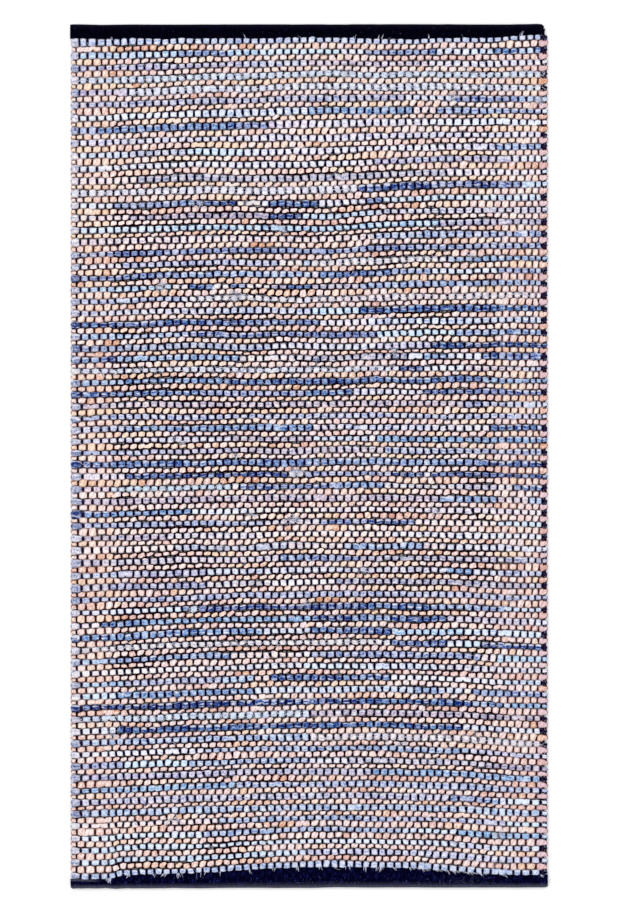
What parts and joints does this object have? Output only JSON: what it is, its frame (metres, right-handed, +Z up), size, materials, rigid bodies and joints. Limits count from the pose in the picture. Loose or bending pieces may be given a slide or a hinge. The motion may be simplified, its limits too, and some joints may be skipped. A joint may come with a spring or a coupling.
{
  "type": "woven denim and jute rag rug",
  "caption": "Flat oblong plain-weave rag rug of denim strips and jute yarn on a dark cotton warp, with black cloth tape folded over both ends; it lies flat on a floor.",
  "frame": {"origin": "middle of the flat underside, on the floor", "axes": "+X across the width, towards the right side of the rug as seen from above; +Y along the length, towards the top end; +Z up, out of the rug's face"},
  "size_m": [0.5, 0.904, 0.008],
  "materials": {
    "denim_weft": "matt cut denim strips in mixed washes from near white to navy, frayed at their edges",
    "jute_weft": "matt natural jute yarn, pale straw to tan, with fine fibres",
    "cotton_warp": "matt twisted navy-black cotton yarn",
    "binding_tape": "matt black cotton tape with a little pale lint"
  },
  "bodies": {
    "root": {"woven_ground": "denim_weft", "end_binding_top": "binding_tape", "end_binding_foot": "binding_tape"}
  },
  "joints": []
}
